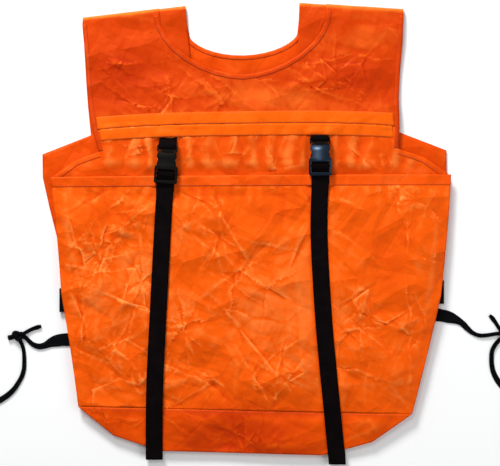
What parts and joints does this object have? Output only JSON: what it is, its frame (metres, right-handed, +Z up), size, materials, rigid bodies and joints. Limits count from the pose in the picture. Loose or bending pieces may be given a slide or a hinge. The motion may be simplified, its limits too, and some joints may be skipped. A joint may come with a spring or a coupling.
{
  "type": "vest",
  "caption": "High-visibility pullover vest lying flat, with a wide front pouch, two webbing straps with side-release buckles, side elastics and knotted tie tapes.",
  "frame": {"origin": "middle of the vest's footprint, without the ties, on the surface it lies on", "axes": "+Z up from the surface, +Y from the lower edge to the collar, +X to the right when the pouch faces up"},
  "size_m": [0.8295, 0.6798, 0.0236],
  "materials": {
    "coated_nylon": "thin coated nylon, satin sheen, creased",
    "band_nylon": "doubled coated nylon, satin sheen, stitched",
    "webbing": "ribbed flat webbing, matt",
    "elastic": "ribbed elastic, matt",
    "tie_tape": "soft woven tape, matt",
    "buckle_plastic": "moulded, glossy with fine texture"
  },
  "bodies": {
    "vest": {"back_panel": "coated_nylon", "back_neck_hem": "coated_nylon", "left_shoulder_fold": "coated_nylon", "right_shoulder_fold": "coated_nylon", "left_neck_gusset": "coated_nylon", "right_neck_gusset": "coated_nylon", "front_yoke": "coated_nylon", "front_body_panel": "coated_nylon", "front_neck_hem": "coated_nylon", "left_armhole_hem": "coated_nylon", "right_armhole_hem": "coated_nylon", "left_wing_hem": "coated_nylon", "right_wing_hem": "coated_nylon", "pouch_front": "coated_nylon", "pouch_top_hem": "coated_nylon", "left_pouch_side": "coated_nylon", "right_pouch_side": "coated_nylon", "pouch_bottom_gusset": "coated_nylon", "chest_band_upper": "band_nylon", "chest_band_lower": "band_nylon", "left_buckle_loop": "webbing", "left_strap_main": "webbing", "left_tongue_base": "buckle_plastic", "left_side_elastic": "elastic", "left_tie_tape": "tie_tape", "left_tie_knot": "tie_tape", "left_tie_tail": "tie_tape", "right_buckle_loop": "webbing", "right_strap_main": "webbing", "right_tongue_base": "buckle_plastic", "right_side_elastic": "elastic", "right_tie_tape": "tie_tape", "right_tie_knot": "tie_tape", "right_tie_tail": "tie_tape"},
    "left_socket": {"left_socket_half": "buckle_plastic", "left_strap_upper": "webbing"},
    "left_outer_arm": {"left_latch_outer": "buckle_plastic"},
    "left_inner_arm": {"left_latch_inner": "buckle_plastic"},
    "right_socket": {"right_socket_half": "buckle_plastic", "right_strap_upper": "webbing"},
    "right_outer_arm": {"right_latch_outer": "buckle_plastic"},
    "right_inner_arm": {"right_latch_inner": "buckle_plastic"}
  },
  "joints": [
    {"name": "left_release", "type": "slide", "parent": "vest", "child": "left_socket", "axis": [-0.061, -0.9981, 0], "range_m": [0, 0.022]},
    {"name": "left_latch_outer_flex", "type": "hinge", "parent": "vest", "child": "left_outer_arm", "pos_m": [-0.12704, 0.11811, 0.0205], "axis": [0, 0, 1], "range_deg": [0, 16]},
    {"name": "left_latch_inner_flex", "type": "hinge", "parent": "vest", "child": "left_inner_arm", "pos_m": [-0.10588, 0.11682, 0.0205], "axis": [0, 0, 1], "range_deg": [-16, 0]},
    {"name": "right_release", "type": "slide", "parent": "vest", "child": "right_socket", "axis": [0.014, -0.9999, 0], "range_m": [0, 0.022]},
    {"name": "right_latch_outer_flex", "type": "hinge", "parent": "vest", "child": "right_outer_arm", "pos_m": [0.11826, 0.12935, 0.0205], "axis": [0, 0, 1], "range_deg": [-16, 0]},
    {"name": "right_latch_inner_flex", "type": "hinge", "parent": "vest", "child": "right_inner_arm", "pos_m": [0.09706, 0.12905, 0.0205], "axis": [0, 0, 1], "range_deg": [0, 16]}
  ],
  "couplings": [
    {"joint": "left_latch_outer_flex", "follows": "left_release", "rad_per_m": 12.6},
    {"joint": "left_latch_inner_flex", "follows": "left_release", "rad_per_m": -12.6},
    {"joint": "right_latch_outer_flex", "follows": "right_release", "rad_per_m": -12.6},
    {"joint": "right_latch_inner_flex", "follows": "right_release", "rad_per_m": 12.6}
  ]
}
